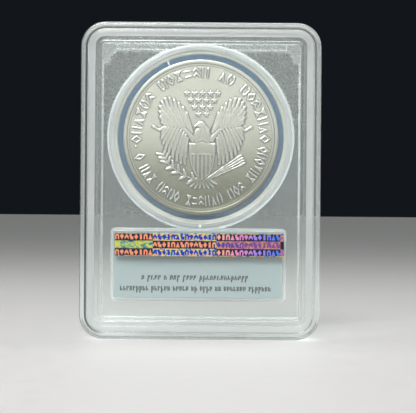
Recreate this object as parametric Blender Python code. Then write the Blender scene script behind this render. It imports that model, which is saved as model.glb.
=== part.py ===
"""Graded coin slab: two welded clear shells around a coin in its gasket and a paper label card.

The slab stands upright on its label end. X is its width, Y its thickness and Z its height, with the
origin at the middle of the bottom edge. The back of the slab, with the holographic strip, faces -Y.
All dimensions are in metres.
"""

import math

import bmesh
import bpy

MM = 0.001
GAP = 0.3 * MM  # clearance between neighbouring pieces

# Slab
WIDTH = 62.5 * MM
HEIGHT = 82.5 * MM
THICKNESS = 8.0 * MM
CORNER_RADIUS = 6.35 * MM
SHARPEST_CORNER = 0.6 * MM  # corner radius of the innermost pocket outline
CORNER_STEPS = 6

# Depths across the slab, each measured from its middle plane
OUTSIDE = THICKNESS / 2
LEDGE = OUTSIDE - 0.8 * MM  # flange beside the back's raised ridge, and floor of the front's recess
STEP = OUTSIDE - 0.5 * MM  # low step between the ridge and the window
WINDOW_OUTER = OUTSIDE - 0.9 * MM
WINDOW_INNER = WINDOW_OUTER - 1.3 * MM
PARTING = GAP / 2

# Border bands, each measured inwards from the slab's outline
RIM_WIDTH = 1.9 * MM
RIDGE_START, RIDGE_END = 2.15 * MM, 3.4 * MM
STEP_END = 4.7 * MM
WINDOW_START = 5.1 * MM
POCKET_TOP_INSET, POCKET_INSET = 5.6 * MM, 5.9 * MM
EDGE_CHAMFER = 0.3 * MM

# Weld seam: a tongue on the front shell stands in a groove of the rear shell
GROOVE_START, GROOVE_END, GROOVE_DEPTH = 1.9 * MM, 3.2 * MM, 1.0 * MM

# Coin, its gasket and the round well that holds them
COIN_RADIUS = 20.3 * MM
COIN_THICKNESS = 2.98 * MM
COIN_RIM_WIDTH = 0.9 * MM
COIN_FIELD_DEPTH = 0.24 * MM
COIN_CENTRE_Z = HEIGHT - 29.75 * MM
GASKET_WEB_RADIUS = 21.65 * MM
GASKET_RADIUS = 23.7 * MM
GASKET_THICKNESS = 3.0 * MM
WEB_THICKNESS = 1.0 * MM
WELL_RADIUS = GASKET_RADIUS + GAP
WELL_WALL = 0.55 * MM
ROUND_STEPS = 72

# Label pocket and card
LABEL_CENTRE_X = -0.4 * MM
LABEL_FRAME_TOP = HEIGHT - 53.5 * MM
LABEL_FRAME_WIDTH, LABEL_FRAME_HEIGHT = 45.7 * MM, 19.0 * MM
LABEL_FRAME_WALL = 0.8 * MM
LABEL_CENTRE_Z = LABEL_FRAME_TOP - LABEL_FRAME_HEIGHT / 2
LABEL_CORNER_RADIUS = 1.2 * MM
CARD_THICKNESS = 0.35 * MM

# Holographic strip on the back window
STRIP_WIDTH, STRIP_HEIGHT, STRIP_THICKNESS = 43.9 * MM, 6.0 * MM, 0.12 * MM
STRIP_CENTRE_X = -0.13 * MM
STRIP_CENTRE_Z = LABEL_FRAME_TOP - 1.3 * MM - STRIP_HEIGHT / 2

# Stepped gussets and the low bar at the pocket's upper end
GUSSET_WIDTH, GUSSET_LENGTH, GUSSET_HEIGHT = 3.4 * MM, 4.7 * MM, 1.2 * MM
BAR_END = 7.1 * MM
BAR_HEIGHT = 0.7 * MM
ROOT_OVERLAP = 0.25 * MM  # how far a rib's root reaches into the plate it stands on


def clear_scene():
    for obj in list(bpy.data.objects):
        bpy.data.objects.remove(obj, do_unlink=True)


def make_material(name, colour, roughness, metallic=0.0, transmission=0.0):
    material = bpy.data.materials.new(name)
    material.use_nodes = True
    shader = material.node_tree.nodes["Principled BSDF"]
    shader.inputs["Base Color"].default_value = (*colour, 1.0)
    shader.inputs["Roughness"].default_value = roughness
    shader.inputs["Metallic"].default_value = metallic
    shader.inputs["Transmission Weight"].default_value = transmission
    material.diffuse_color = (*colour, 1.0)
    return material


def rounded_outline(width, height, radius, centre=(0.0, HEIGHT / 2), steps=CORNER_STEPS):
    """Points (x, z) around a rounded rectangle, starting at its lower right corner."""
    points = []
    corners = ((1, -1, -90), (1, 1, 0), (-1, 1, 90), (-1, -1, 180))
    for side_x, side_z, start_angle in corners:
        middle_x = centre[0] + side_x * (width / 2 - radius)
        middle_z = centre[1] + side_z * (height / 2 - radius)
        for step in range(steps + 1):
            angle = math.radians(start_angle + 90 * step / steps)
            points.append((middle_x + radius * math.cos(angle), middle_z + radius * math.sin(angle)))
    return points


def slab_outline(inset):
    """The slab's outline, moved inwards by inset, with its corner radius shrinking to match."""
    radius = max(CORNER_RADIUS - inset, SHARPEST_CORNER)
    return rounded_outline(WIDTH - 2 * inset, HEIGHT - 2 * inset, radius)


def mesh_object(name, bm, material=None):
    bmesh.ops.recalc_face_normals(bm, faces=bm.faces)
    mesh = bpy.data.meshes.new(name)
    bm.to_mesh(mesh)
    bm.free()
    if material:
        mesh.materials.append(material)
    obj = bpy.data.objects.new(name, mesh)
    bpy.context.collection.objects.link(obj)
    return obj


def loft(name, sections, material=None):
    """A closed solid through sections, each an outline and its depth y, capped at both ends."""
    bm = bmesh.new()
    loops = [[bm.verts.new((x, y, z)) for x, z in outline] for outline, y in sections]
    count = len(loops[0])
    for first, second in zip(loops, loops[1:]):
        for i in range(count):
            j = (i + 1) % count
            bm.faces.new((first[i], first[j], second[j], second[i]))
    bm.faces.new(loops[0])
    bm.faces.new(loops[-1])
    return mesh_object(name, bm, material)


def turned_ring(name, profile, material=None, centre_z=COIN_CENTRE_Z):
    """A closed ring turned about the coin's axis, from a closed profile of (radius, y) points."""
    bm = bmesh.new()
    rings = []
    for step in range(ROUND_STEPS):
        angle = 2 * math.pi * step / ROUND_STEPS
        cosine, sine = math.cos(angle), math.sin(angle)
        rings.append([bm.verts.new((r * cosine, y, centre_z + r * sine)) for r, y in profile])
    for step in range(ROUND_STEPS):
        here, there = rings[step], rings[(step + 1) % ROUND_STEPS]
        for i in range(len(profile)):
            j = (i + 1) % len(profile)
            bm.faces.new((here[i], here[j], there[j], there[i]))
    return mesh_object(name, bm, material)


def turned_disc(name, profile, material=None, centre_z=COIN_CENTRE_Z):
    """A closed disc turned about the coin's axis, from an open profile that ends in flat faces."""
    angles = [2 * math.pi * step / ROUND_STEPS for step in range(ROUND_STEPS)]
    sections = []
    for radius, y in profile:
        outline = [(radius * math.cos(a), centre_z + radius * math.sin(a)) for a in angles]
        sections.append((outline, y))
    return loft(name, sections, material)


def smooth_round(obj, sharp_angle=35):
    obj.data.shade_smooth()
    obj.data.set_sharp_from_angle(angle=math.radians(sharp_angle))


def boolean(target, tool, operation):
    """Unites tool with target, or cuts it away. The tool itself isn't a piece of the slab."""
    modifier = target.modifiers.new(tool.name, "BOOLEAN")
    modifier.operation = operation
    modifier.solver = "EXACT"
    modifier.object = tool
    tool.hide_render = True
    tool.display_type = "WIRE"


def frame_solid(name, width, height, wall, y_start, y_end):
    """A rectangular rib around the label, open in the middle."""
    centre = (LABEL_CENTRE_X, LABEL_CENTRE_Z)
    outer = rounded_outline(width, height, LABEL_CORNER_RADIUS, centre)
    inner_radius = max(LABEL_CORNER_RADIUS - wall, SHARPEST_CORNER)
    inner = rounded_outline(width - 2 * wall, height - 2 * wall, inner_radius, centre)
    bm = bmesh.new()
    loops = []
    for outline, y in ((outer, y_start), (outer, y_end), (inner, y_end), (inner, y_start)):
        loops.append([bm.verts.new((x, y, z)) for x, z in outline])
    count = len(outer)
    for k in range(4):
        first, second = loops[k], loops[(k + 1) % 4]
        for i in range(count):
            j = (i + 1) % count
            bm.faces.new((first[i], first[j], second[j], second[i]))
    return mesh_object(name, bm)


def gusset_outline(side):
    """The stepped block in one upper corner of the pocket."""
    corner_x = side * (WIDTH / 2 - POCKET_INSET + ROOT_OVERLAP)
    corner_z = HEIGHT - POCKET_INSET + ROOT_OVERLAP
    width, length = GUSSET_WIDTH + ROOT_OVERLAP, GUSSET_LENGTH + ROOT_OVERLAP
    steps = ((0, 0), (1, 0), (1, 0.34), (0.72, 0.44), (0.52, 0.68), (0.42, 1), (0, 1))
    return [(corner_x - side * u * width, corner_z - v * length) for u, v in steps]


def add_pocket_details(shell, side_name, side):
    """Adds the ribs that stand on the window's inner face. side is -1 at the back and 1 at the front."""
    root = side * (WINDOW_INNER + ROOT_OVERLAP)
    parting = side * PARTING

    wall_outer = WELL_RADIUS + WELL_WALL
    wall_inner = WELL_RADIUS - GAP / 2
    profile = ((wall_inner, root), (wall_outer, root), (wall_outer, parting), (wall_inner, parting))
    boolean(shell, turned_ring(f"{side_name}_well_wall", profile), "UNION")

    bar_y = side * (WINDOW_INNER - BAR_HEIGHT)
    half_bar = WIDTH / 2 - POCKET_INSET + ROOT_OVERLAP
    bar_top, bar_bottom = HEIGHT - POCKET_INSET + ROOT_OVERLAP, HEIGHT - BAR_END
    bar = ((half_bar, bar_bottom), (half_bar, bar_top), (-half_bar, bar_top), (-half_bar, bar_bottom))
    boolean(shell, loft(f"{side_name}_top_bar", ((bar, root), (bar, bar_y))), "UNION")

    for hand_name, hand in (("left", -1), ("right", 1)):
        outline = gusset_outline(hand)
        gusset_y = side * (WINDOW_INNER - GUSSET_HEIGHT)
        gusset = loft(f"{side_name}_gusset_{hand_name}", ((outline, root), (outline, gusset_y)))
        boolean(shell, gusset, "UNION")

    well = ((WELL_RADIUS, side * WINDOW_INNER), (WELL_RADIUS, -side * OUTSIDE))
    boolean(shell, turned_disc(f"{side_name}_well_cut", well), "DIFFERENCE")


def make_rear_shell(material):
    """Back tray: a raised stacking ridge, a recessed window, the weld groove and the ribs inside."""
    profile = (
        (POCKET_INSET, WINDOW_INNER),
        (POCKET_TOP_INSET, PARTING),
        (GROOVE_END, PARTING),
        (GROOVE_END, PARTING + GROOVE_DEPTH),
        (GROOVE_START, PARTING + GROOVE_DEPTH),
        (GROOVE_START, PARTING),
        (0.0, PARTING),
        (0.0, LEDGE - EDGE_CHAMFER),
        (EDGE_CHAMFER, LEDGE),
        (RIM_WIDTH, LEDGE),
        (RIDGE_START, OUTSIDE),
        (RIDGE_END, OUTSIDE),
        (RIDGE_END + EDGE_CHAMFER, STEP),
        (STEP_END, STEP),
        (WINDOW_START, WINDOW_OUTER),
    )
    shell = loft("rear_shell", [(slab_outline(inset), -depth) for inset, depth in profile], material)
    frame = frame_solid(
        "rear_label_frame",
        LABEL_FRAME_WIDTH,
        LABEL_FRAME_HEIGHT,
        LABEL_FRAME_WALL,
        -(WINDOW_INNER + ROOT_OVERLAP),
        -PARTING,
    )
    boolean(shell, frame, "UNION")
    add_pocket_details(shell, "rear", -1)
    return shell


def make_front_shell(material):
    """Front tray: an outer stacking rim, a recessed window, the weld tongue and the ribs inside."""
    tongue_start, tongue_end = GROOVE_START + GAP, GROOVE_END - GAP
    tongue_tip = PARTING + GROOVE_DEPTH - GAP
    profile = (
        (POCKET_INSET, WINDOW_INNER),
        (POCKET_TOP_INSET, PARTING),
        (tongue_end, PARTING),
        (tongue_end, -tongue_tip),
        (tongue_start, -tongue_tip),
        (tongue_start, PARTING),
        (0.0, PARTING),
        (0.0, OUTSIDE - EDGE_CHAMFER),
        (EDGE_CHAMFER, OUTSIDE),
        (RIM_WIDTH - EDGE_CHAMFER, OUTSIDE),
        (RIM_WIDTH, LEDGE),
        (STEP_END, LEDGE),
        (WINDOW_START, WINDOW_OUTER),
    )
    shell = loft("front_shell", [(slab_outline(inset), depth) for inset, depth in profile], material)
    clamp_inset = LABEL_FRAME_WALL + GAP
    clamp = frame_solid(
        "front_label_clamp",
        LABEL_FRAME_WIDTH - 2 * clamp_inset,
        LABEL_FRAME_HEIGHT - 2 * clamp_inset,
        LABEL_FRAME_WALL,
        WINDOW_INNER + ROOT_OVERLAP,
        -(WINDOW_INNER - GAP - CARD_THICKNESS - GAP),
    )
    boolean(shell, clamp, "UNION")
    add_pocket_details(shell, "front", 1)
    return shell


def make_coin(material):
    """Silver coin with a raised rim on both faces; the relief between the rims is left plain."""
    rim = COIN_THICKNESS / 2
    field = rim - COIN_FIELD_DEPTH
    rim_inner = COIN_RADIUS - COIN_RIM_WIDTH
    half = (
        (rim_inner - EDGE_CHAMFER, field),
        (rim_inner, rim),
        (COIN_RADIUS - EDGE_CHAMFER, rim),
        (COIN_RADIUS, rim - EDGE_CHAMFER),
    )
    profile = [(r, -y) for r, y in half] + [(r, y) for r, y in reversed(half)]
    coin = turned_disc("coin", profile, material)
    smooth_round(coin)
    return coin


def make_gasket(material):
    """Clear flexible ring: a thin web beside the coin and a thick rounded body in the well."""
    web, body = WEB_THICKNESS / 2, GASKET_THICKNESS / 2
    half = (
        (COIN_RADIUS + GAP, web),
        (GASKET_WEB_RADIUS, web),
        (GASKET_WEB_RADIUS + 0.35 * MM, body - 0.2 * MM),
        (GASKET_WEB_RADIUS + 0.75 * MM, body),
        (GASKET_RADIUS - 0.4 * MM, body),
        (GASKET_RADIUS, body - 0.4 * MM),
    )
    profile = [(r, -y) for r, y in half] + [(r, y) for r, y in reversed(half)]
    gasket = turned_ring("coin_gasket", profile, material)
    smooth_round(gasket)
    return gasket


def make_label_card(material):
    """Paper insert in the label pocket, close behind the back window."""
    inset = LABEL_FRAME_WALL + GAP
    outline = rounded_outline(
        LABEL_FRAME_WIDTH - 2 * inset,
        LABEL_FRAME_HEIGHT - 2 * inset,
        SHARPEST_CORNER,
        (LABEL_CENTRE_X, LABEL_CENTRE_Z),
    )
    back = -(WINDOW_INNER - GAP)
    return loft("label_card", ((outline, back), (outline, back + CARD_THICKNESS)), material)


def make_strip(material):
    """Holographic security strip on the outside of the back window."""
    outline = rounded_outline(
        STRIP_WIDTH, STRIP_HEIGHT, 0.2 * MM, (STRIP_CENTRE_X, STRIP_CENTRE_Z), steps=2
    )
    front = -(WINDOW_OUTER + GAP)
    return loft("hologram_strip", ((outline, front - STRIP_THICKNESS), (outline, front)), material)


def main():
    clear_scene()
    clear_plastic = make_material("clear_plastic", (0.86, 0.88, 0.88), 0.08, transmission=1.0)
    clear_rubber = make_material("clear_rubber", (0.82, 0.85, 0.88), 0.2, transmission=0.9)
    silver = make_material("silver", (0.78, 0.77, 0.72), 0.3, metallic=1.0)
    paper = make_material("paper", (0.45, 0.5, 0.52), 0.8)
    foil = make_material("foil", (0.35, 0.28, 0.4), 0.25, metallic=0.8)
    make_rear_shell(clear_plastic)
    make_front_shell(clear_plastic)
    make_gasket(clear_rubber)
    make_coin(silver)
    make_label_card(paper)
    make_strip(foil)


main()
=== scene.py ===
"""Visual model of a graded coin slab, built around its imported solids.

Metres throughout, in the solids' frame: X is the slab's width, Y its thickness with the back at -Y,
and Z its height. The slab stands on its label end. The coin's own designs are drawn in millimetres.
"""
import math
import bmesh
import bpy
import numpy as np
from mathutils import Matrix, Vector


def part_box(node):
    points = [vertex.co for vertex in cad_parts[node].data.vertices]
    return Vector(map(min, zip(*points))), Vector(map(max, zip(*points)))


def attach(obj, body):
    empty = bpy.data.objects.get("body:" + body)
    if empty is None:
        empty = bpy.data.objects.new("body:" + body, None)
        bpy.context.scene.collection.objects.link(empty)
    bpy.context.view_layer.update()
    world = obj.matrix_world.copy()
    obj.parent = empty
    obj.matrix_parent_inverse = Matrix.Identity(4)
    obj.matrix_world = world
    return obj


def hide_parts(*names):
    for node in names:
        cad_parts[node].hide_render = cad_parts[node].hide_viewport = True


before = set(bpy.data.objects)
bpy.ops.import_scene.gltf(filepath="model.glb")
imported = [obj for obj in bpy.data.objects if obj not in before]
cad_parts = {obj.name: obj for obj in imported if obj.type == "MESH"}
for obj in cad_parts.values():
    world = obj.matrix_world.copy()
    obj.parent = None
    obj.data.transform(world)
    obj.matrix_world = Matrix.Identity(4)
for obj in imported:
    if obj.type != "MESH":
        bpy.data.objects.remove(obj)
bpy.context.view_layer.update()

MM = 0.001


def middle_and_size(node):
    low, high = (Vector(corner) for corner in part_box(node))
    return (low + high) / 2, high - low


# ---------------------------------------------------------------- places and sizes, from the solids

_, SLAB_SIZE = middle_and_size("front_shell")
COIN_MIDDLE, COIN_SIZE = middle_and_size("coin")
_, GASKET_SIZE = middle_and_size("coin_gasket")
CARD_MIDDLE, CARD_SIZE = middle_and_size("label_card")
STRIP_MIDDLE, STRIP_SIZE = middle_and_size("hologram_strip")
WIDTH, HEIGHT = SLAB_SIZE.x, SLAB_SIZE.z
OUTSIDE = -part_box("rear_shell")[0][1]  # depth of the outermost faces from the middle plane
COIN_RADIUS = COIN_SIZE.x / 2
COIN_Z = COIN_MIDDLE.z

CLEARANCE = 0.3 * MM  # left between neighbouring solids, and closed up here where pieces touch
CORNER_RADIUS = 6.35 * MM
SHARPEST_CORNER = 0.6 * MM
LEDGE = OUTSIDE - 0.8 * MM
STEP = OUTSIDE - 0.5 * MM
WINDOW_OUTER = OUTSIDE - 0.9 * MM
WINDOW_INNER = WINDOW_OUTER - 1.3 * MM
SEAM = 0.015 * MM  # half the hairline gap between the welded shells
POCKET_INSET = 5.5 * MM
FUSED_START = 1.05 * MM  # the melted joint begins this far in from the slab's outline
WELL_RADIUS = GASKET_SIZE.x / 2 + CLEARANCE
WELL_WALL = 0.2 * MM
FRAME_WALL = 0.8 * MM
FRAME_WIDTH = CARD_SIZE.x + 2 * (FRAME_WALL + CLEARANCE)
FRAME_HEIGHT = CARD_SIZE.z + 2 * (FRAME_WALL + CLEARANCE)
FRAME_CORNER = 1.2 * MM
RIB_ROOT = WINDOW_INNER + 0.3 * MM  # ribs and blocks start inside the window, to fuse with it
SIDE_ROOT = 0.25 * MM  # and this deep inside the pocket's sides
BAR_END = 7.1 * MM  # from the slab's upper end to the bar's lower side
BAR_HEIGHT, GUSSET_HEIGHT = 0.7 * MM, 1.2 * MM
GUSSET_WIDTH, GUSSET_LENGTH = 4.0 * MM, 5.25 * MM
PIN_X = 23.3 * MM  # mould marks at both sides of the coin
WEB_END, LIP_END = 21.65 * MM, 22.2 * MM  # radii where the gasket's thin web and its lip end

# Which of a shell's plastics a face has. The windows have the first, 0.
BORDER, WELD, RIB_WALLS, FUSED_JOINT, SCUFFED_EDGE, BLOCKS = range(1, 7)


# ---------------------------------------------------------------- mesh helpers

def new_object(name, bm, *materials):
    bmesh.ops.recalc_face_normals(bm, faces=bm.faces)
    mesh = bpy.data.meshes.new(name)
    bm.to_mesh(mesh)
    bm.free()
    for material in materials:
        mesh.materials.append(material)
    obj = bpy.data.objects.new(name, mesh)
    bpy.context.collection.objects.link(obj)
    return obj


def bridge(bm, first, second):
    count = len(first)
    for i in range(count):
        j = (i + 1) % count
        bm.faces.new((first[i], first[j], second[j], second[i]))


def fillet(points, degrees_per_step=15):
    """A polyline with its corners rounded. Each point is (a, b, radius); ends keep radius 0."""
    rounded = []
    for k, (a, b, radius) in enumerate(points):
        corner = Vector((a, b))
        if radius <= 0 or k in (0, len(points) - 1):
            rounded.append((a, b))
            continue
        back = Vector(points[k - 1][:2]) - corner
        ahead = Vector(points[k + 1][:2]) - corner
        turn = math.pi - back.angle(ahead)
        reach = min(radius * math.tan(turn / 2), 0.49 * back.length, 0.49 * ahead.length)
        start, end = corner + back.normalized() * reach, corner + ahead.normalized() * reach
        steps = max(2, math.ceil(math.degrees(turn) / degrees_per_step))
        bow = math.cos(turn / 2)
        for i in range(steps + 1):
            t = i / steps
            weights = ((1 - t) ** 2, 2 * bow * t * (1 - t), t * t)
            point = (start * weights[0] + corner * weights[1] + end * weights[2]) / sum(weights)
            rounded.append((point.x, point.y))
    return rounded


def rounded_outline(width, height, radius, centre, steps=14):
    """Points (x, z) around a rounded rectangle."""
    points = []
    for side_x, side_z, start_angle in ((1, -1, -90), (1, 1, 0), (-1, 1, 90), (-1, -1, 180)):
        middle_x = centre[0] + side_x * (width / 2 - radius)
        middle_z = centre[1] + side_z * (height / 2 - radius)
        for step in range(steps + 1):
            angle = math.radians(start_angle + 90 * step / steps)
            points.append((middle_x + radius * math.cos(angle), middle_z + radius * math.sin(angle)))
    return points


def slab_outline(inset):
    radius = max(CORNER_RADIUS - inset, SHARPEST_CORNER)
    return rounded_outline(WIDTH - 2 * inset, HEIGHT - 2 * inset, radius, (0, HEIGHT / 2))


def inset_polygon(points, distance):
    """A counter-clockwise polygon moved inwards by distance."""
    moved = []
    count = len(points)
    for k in range(count):
        here = Vector(points[k])
        before = (here - Vector(points[k - 1])).normalized()
        after = (Vector(points[(k + 1) % count]) - here).normalized()
        normal_before, normal_after = Vector((-before.y, before.x)), Vector((-after.y, after.x))
        mitre = (normal_before + normal_after) / (1 + normal_before.dot(normal_after))
        moved.append(tuple(here + mitre * distance))
    return moved


def loft(name, sections, *materials, ring=False):
    """A closed solid through sections, each an outline of (x, z) points and its depth y.

    A ring has no end faces: its last section joins its first.
    """
    bm = bmesh.new()
    loops = [[bm.verts.new((x, y, z)) for x, z in outline] for outline, y in sections]
    for first, second in zip(loops, loops[1:]):
        bridge(bm, first, second)
    if ring:
        bridge(bm, loops[-1], loops[0])
    else:
        bm.faces.new(loops[0])
        bm.faces.new(loops[-1])
    return new_object(name, bm, *materials)


def block(name, outline_at, root, top, edge, *materials):
    """A raised block with rounded upper edges. outline_at gives its outline at an inset."""
    direction = 1 if top > root else -1
    sections = [(outline_at(0), root)]
    for step in range(5):
        angle = math.radians(90 * step / 4)
        depth = top - direction * edge * (1 - math.sin(angle))
        sections.append((outline_at(edge * (1 - math.cos(angle))), depth))
    return loft(name, sections, *materials)


def add_plate(bm, outline, centre, low, high, taper):
    """Adds a thin raised shape. outline lies around centre (x, z), and taper narrows its top."""
    x, z = centre
    flat = [bm.verts.new((x + a, low, z + b)) for a, b in outline]
    raised = [bm.verts.new((x + a * taper[0], high, z + b * taper[1])) for a, b in outline]
    bridge(bm, flat, raised)
    bm.faces.new(flat)
    bm.faces.new(raised)


def turned_ring(name, profile, steps, *materials):
    """A closed ring turned about the coin's axis, from a closed profile of (radius, y) points."""
    bm = bmesh.new()
    rings = []
    for step in range(steps):
        angle = 2 * math.pi * step / steps
        cosine, sine = math.cos(angle), math.sin(angle)
        rings.append([bm.verts.new((r * cosine, y, COIN_Z + r * sine)) for r, y in profile])
    for step in range(steps):
        bridge(bm, rings[step], rings[(step + 1) % steps])
    return new_object(name, bm, *materials)


def turned_disc(name, profile, steps, *materials, centre_x=0.0, centre_z=COIN_Z):
    """A closed disc turned about an axis along Y, from an open profile of (radius, y) points."""
    angles = [2 * math.pi * step / steps for step in range(steps)]
    sections = []
    for radius, y in profile:
        ring = [(centre_x + radius * math.cos(a), centre_z + radius * math.sin(a)) for a in angles]
        sections.append((ring, y))
    return loft(name, sections, *materials)


def combine(target, tool, operation):
    """Unites tool with target, or cuts it away, and removes the tool."""
    modifier = target.modifiers.new(tool.name, "BOOLEAN")
    modifier.operation = operation
    modifier.solver = "EXACT"
    modifier.object = tool
    evaluated = target.evaluated_get(bpy.context.evaluated_depsgraph_get())
    mesh = bpy.data.meshes.new_from_object(evaluated)
    target.modifiers.clear()
    old = target.data
    target.data = mesh
    bpy.data.meshes.remove(old)
    bpy.data.objects.remove(tool, do_unlink=True)


def shade(obj, sharp_angle=38):
    """Smooth shading that keeps large flat faces flat."""
    obj.data.shade_smooth()
    obj.data.set_sharp_from_angle(angle=math.radians(sharp_angle))
    modifier = obj.modifiers.new("weighted_normals", "WEIGHTED_NORMAL")
    modifier.keep_sharp = True


def place(obj, slot, *nodes):
    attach(obj, "root")
    if nodes:
        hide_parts(*nodes)


# ---------------------------------------------------------------- material helpers

class Nodes:
    """A short way to write the nodes of a material or world."""

    def __init__(self, owner):
        owner.use_nodes = True
        self.owner = owner
        self.tree = owner.node_tree
        self.shader = self.tree.nodes.get("Principled BSDF")

    def add(self, kind, inputs=(), **settings):
        node = self.tree.nodes.new(kind)
        for key, value in settings.items():
            setattr(node, key, value)
        for key, value in dict(inputs).items():
            self.set(node, key, value)
        return node

    def set(self, node, key, value):
        if isinstance(value, bpy.types.NodeSocket):
            self.tree.links.new(value, node.inputs[key])
        else:
            node.inputs[key].default_value = value

    def surface(self, **values):
        for key, value in values.items():
            self.set(self.shader, key.replace("_", " "), value)

    def math(self, operation, first, second=0.0):
        return self.add("ShaderNodeMath", {0: first, 1: second}, operation=operation).outputs[0]

    def times(self, first, second):
        return self.math("MULTIPLY", first, second)

    def length(self, first, second):
        return self.math("SQRT", self.math("ADD", self.times(first, first), self.times(second, second)))

    def parts(self, vector):
        return self.add("ShaderNodeSeparateXYZ", {"Vector": vector}).outputs

    def vector(self, *parts):
        return self.add("ShaderNodeCombineXYZ", dict(enumerate(parts))).outputs[0]

    def from_coin(self, where):
        """How far a place lies to the right of the coin's axis, and above it."""
        x, _, z = self.parts(where)
        return x, self.math("SUBTRACT", z, COIN_Z)

    def noise(self, vector, scale, detail=3.0, roughness=0.5, distortion=0.0):
        values = {"Vector": vector, "Scale": scale, "Detail": detail}
        values.update({"Roughness": roughness, "Distortion": distortion})
        return self.add("ShaderNodeTexNoise", values).outputs["Fac"]

    def stretched(self, vector, scale):
        return self.add("ShaderNodeMapping", {"Vector": vector, "Scale": scale}).outputs["Vector"]

    def remap(self, value, low, high, to_low, to_high, smooth=False):
        values = {"Value": value, "From Min": low, "From Max": high, "To Min": to_low, "To Max": to_high}
        kind = "SMOOTHSTEP" if smooth else "LINEAR"
        return self.add("ShaderNodeMapRange", values, interpolation_type=kind).outputs["Result"]

    def spread(self, noise, low, high):
        """Most of a noise's values, spread from low to high."""
        return self.remap(noise, 0.3, 0.7, low, high)

    def ramp(self, value, stops):
        node = self.add("ShaderNodeValToRGB", {"Fac": value})
        elements = node.color_ramp.elements
        while len(elements) < len(stops):
            elements.new(1.0)
        for element, (at, colour) in zip(elements, stops):
            element.position = at
            element.color = (*colour, 1.0)
        return node.outputs["Color"]

    def mix(self, factor, first, second):
        node = self.add("ShaderNodeMix", data_type="RGBA", blend_type="MIX")
        self.set(node, 0, factor)
        for socket, value in ((6, first), (7, second)):
            self.set(node, socket, (*value, 1.0) if isinstance(value, tuple) else value)
        return node.outputs[2]

    def bump(self, height, distance, strength=1.0, below=None):
        values = {"Height": height, "Distance": distance, "Strength": strength}
        if below is not None:
            values["Normal"] = below
        return self.add("ShaderNodeBump", values).outputs["Normal"]

    def let_lamps_through(self, tint):
        """Shadow rays pass straight through, tinted, so that what is behind the plastic is lit."""
        clear = self.add("ShaderNodeBsdfTransparent", {"Color": (*tint, 1.0)}).outputs[0]
        shadow = self.add("ShaderNodeLightPath").outputs["Is Shadow Ray"]
        both = self.add("ShaderNodeMixShader", {0: shadow, 1: self.shader.outputs[0], 2: clear})
        self.set(self.tree.nodes["Material Output"], "Surface", both.outputs[0])


def new_material(name):
    """A new material's nodes, and the place on the object."""
    n = Nodes(bpy.data.materials.new(name))
    return n, n.add("ShaderNodeTexCoord").outputs["Object"]


# ---------------------------------------------------------------- materials

def clear_plastic(name, roughness, clarity, waviness, speckled=False):
    """Polished polystyrene, slightly wavy from the mould, with fine handling scratches.

    Speckled plastic is also worn in small specks beside the coin, most of all near the top.
    """
    n, where = new_material(name)
    waves = n.noise(where, 90.0, 2.0)
    scratches = n.noise(n.stretched(where, (2600, 1, 160)), 1.0, 2.0)
    n.surface(Base_Color=(0.945, 0.972, 0.965, 1.0), IOR=1.58, Transmission_Weight=clarity)
    if speckled:
        radius = n.length(*n.from_coin(where))
        beside_coin = n.remap(radius, WELL_RADIUS, WELL_RADIUS + 0.5 * MM, 0.0, 1.0)
        _, _, z = n.parts(where)
        upwards = n.remap(z, CARD_MIDDLE.z + FRAME_HEIGHT / 2, HEIGHT - 10 * MM, 0.15, 1.0)
        specks = n.remap(n.noise(where, 1750.0, 2.0, 0.6), 0.5, 0.64, 0.0, 0.38)
        n.surface(Roughness=n.math("ADD", n.times(n.times(beside_coin, upwards), specks), roughness))
    else:
        smudges = n.noise(where, 160.0, 4.0, 0.6)
        n.surface(Roughness=n.remap(smudges, 0.35, 0.75, roughness * 0.9, roughness * 1.2))
    n.surface(Normal=n.bump(waves, 0.00004, waviness, n.bump(scratches, 0.000002, 0.25)))
    n.let_lamps_through((0.93, 0.945, 0.94))
    return n.owner


def weld_plastic():
    """The weld's tongue and groove: the same plastic clouded by fine bubbles, with painted shade greying
    it at the top.
    """
    n, where = new_material("welded_plastic")
    _, _, z = n.parts(where)
    bubbles = n.noise(where, 1400.0, 3.0, 0.7)
    # Painted shade: the base colour turns a darker grey towards the slab's upper end.
    painted_shade_at_top = n.remap(z, HEIGHT - 8 * MM, HEIGHT - 5 * MM, 0.0, 1.0)
    cloud = n.mix(painted_shade_at_top, (0.86, 0.87, 0.865), (0.77, 0.775, 0.77))
    n.surface(Base_Color=cloud, IOR=1.3, Transmission_Weight=0.74)
    n.surface(Roughness=n.spread(bubbles, 0.3, 0.6), Normal=n.bump(bubbles, 0.00005, 0.6))
    n.let_lamps_through((0.8, 0.81, 0.81))
    return n.owner


def fused_plastic():
    """Where both shells melted into one: light goes straight on, and painted shade darkens it at the
    left side.
    """
    n, where = new_material("fused_joint")
    x, _, _ = n.parts(where)
    speck = n.noise(where, 800.0, 2.0)
    # Painted shade: a dark tint over the left side, fading out towards 7 mm in from the edge.
    clear_of_painted_shade = n.remap(x, -WIDTH / 2 + 1.6 * MM, -WIDTH / 2 + 7 * MM, 0.0, 1.0, smooth=True)
    clear = n.mix(speck, (0.96, 0.97, 0.965), (1.0, 1.0, 1.0))
    n.surface(Base_Color=n.mix(clear_of_painted_shade, (0.13, 0.16, 0.165), clear), IOR=1.0, Transmission_Weight=1.0)
    n.surface(Roughness=n.spread(speck, 0.0, 0.02), Normal=n.bump(speck, 0.000001, 0.1))
    n.let_lamps_through((0.98, 0.98, 0.98))
    return n.owner


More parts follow.
